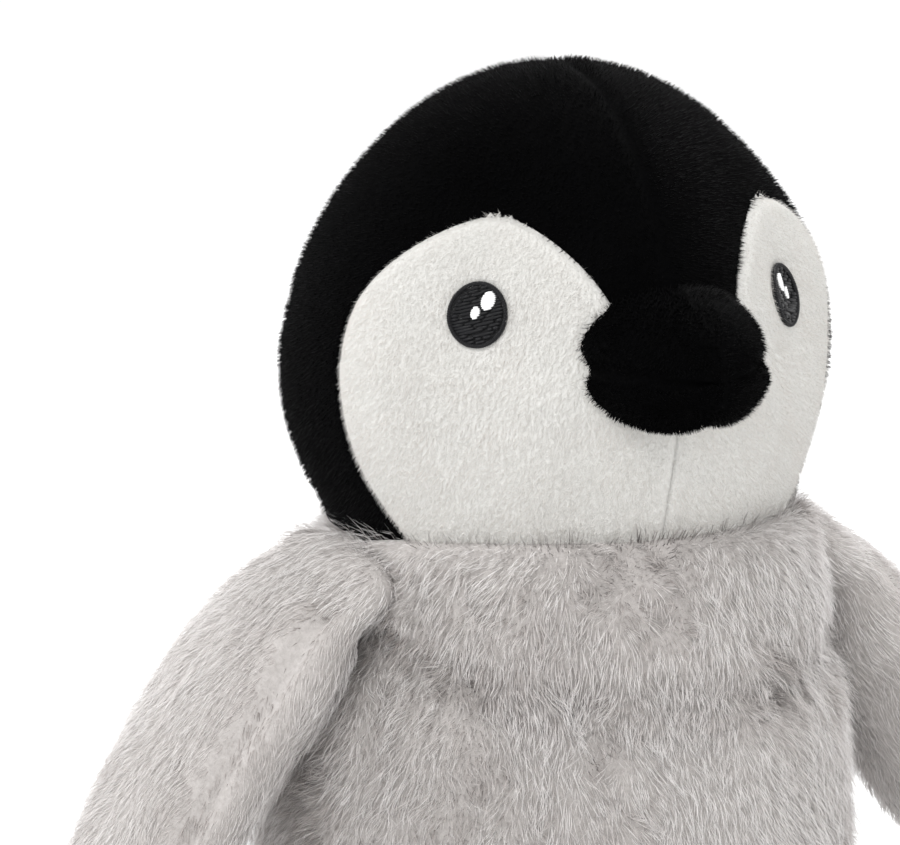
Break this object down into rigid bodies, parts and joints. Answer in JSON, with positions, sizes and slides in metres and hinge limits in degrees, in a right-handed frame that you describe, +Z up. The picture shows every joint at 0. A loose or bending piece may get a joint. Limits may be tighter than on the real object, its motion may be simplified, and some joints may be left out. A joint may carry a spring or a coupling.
{
  "type": "plush penguin",
  "caption": "Plush penguin chick that sits upright: black and white short-pile head with a stuffed beak and embroidered eyes, long-pile grey body and wings, black feet.",
  "frame": {"origin": "centre of the flat base panel, on the floor that the toy stands on", "axes": "+Z up; the face looks towards -Y, so the toy's right wing is at -X"},
  "size_m": [0.2618, 0.1618, 0.2974],
  "materials": {
    "black_plush": "short black pile",
    "white_plush": "short white pile",
    "grey_plush": "long grey pile",
    "black_thread": "embroidery thread",
    "white_thread": "embroidery thread",
    "stuffing": "polyester fibre",
    "bag_cloth": "woven bag of pellets"
  },
  "bodies": {
    "torso": {"torso_filling": "stuffing", "pellet_bag": "bag_cloth", "front_body_panel": "grey_plush", "back_body_panel_right": "grey_plush", "back_body_panel_left": "grey_plush", "base_panel": "grey_plush", "foot_upper_panel_right": "black_plush", "foot_sole_panel_right": "black_plush", "foot_filling_right": "stuffing", "foot_upper_panel_left": "black_plush", "foot_sole_panel_left": "black_plush", "foot_filling_left": "stuffing", "tail_upper_panel": "grey_plush", "tail_lower_panel": "grey_plush", "tail_filling": "stuffing"},
    "neck": {"neck_filling": "stuffing"},
    "head": {"crown_panel_right": "black_plush", "crown_panel_left": "black_plush", "back_head_panel_right": "black_plush", "back_head_panel_left": "black_plush", "cheek_panel_right": "white_plush", "cheek_panel_left": "white_plush", "beak_upper_panel": "black_plush", "beak_lower_panel": "black_plush", "beak_filling": "stuffing", "eye_embroidery_right": "black_thread", "eye_embroidery_left": "black_thread", "eye_highlights_right": "white_thread", "eye_highlights_left": "white_thread", "head_filling": "stuffing"},
    "wing_right": {"wing_outer_panel_right": "grey_plush", "wing_inner_panel_right": "grey_plush", "wing_filling_right": "stuffing"},
    "wing_left": {"wing_outer_panel_left": "grey_plush", "wing_inner_panel_left": "grey_plush", "wing_filling_left": "stuffing"}
  },
  "joints": [
    {"name": "head_turn", "type": "hinge", "parent": "torso", "child": "neck", "pos_m": [0, 0, 0.174], "axis": [0, 0, 1], "range_deg": [-20, 20], "stiffness_Nm_per_rad": 1},
    {"name": "head_nod", "type": "hinge", "parent": "neck", "child": "head", "pos_m": [0, 0, 0.174], "axis": [1, 0, 0], "range_deg": [-9, 12], "stiffness_Nm_per_rad": 1.5},
    {"name": "wing_right_lift", "type": "hinge", "parent": "torso", "child": "wing_right", "pos_m": [-0.0605, 0, 0.189], "axis": [0, 1, 0], "range_deg": [-10, 60], "stiffness_Nm_per_rad": 0.12},
    {"name": "wing_left_lift", "type": "hinge", "parent": "torso", "child": "wing_left", "pos_m": [0.0605, 0, 0.189], "axis": [0, -1, 0], "range_deg": [-10, 60], "stiffness_Nm_per_rad": 0.12}
  ]
}
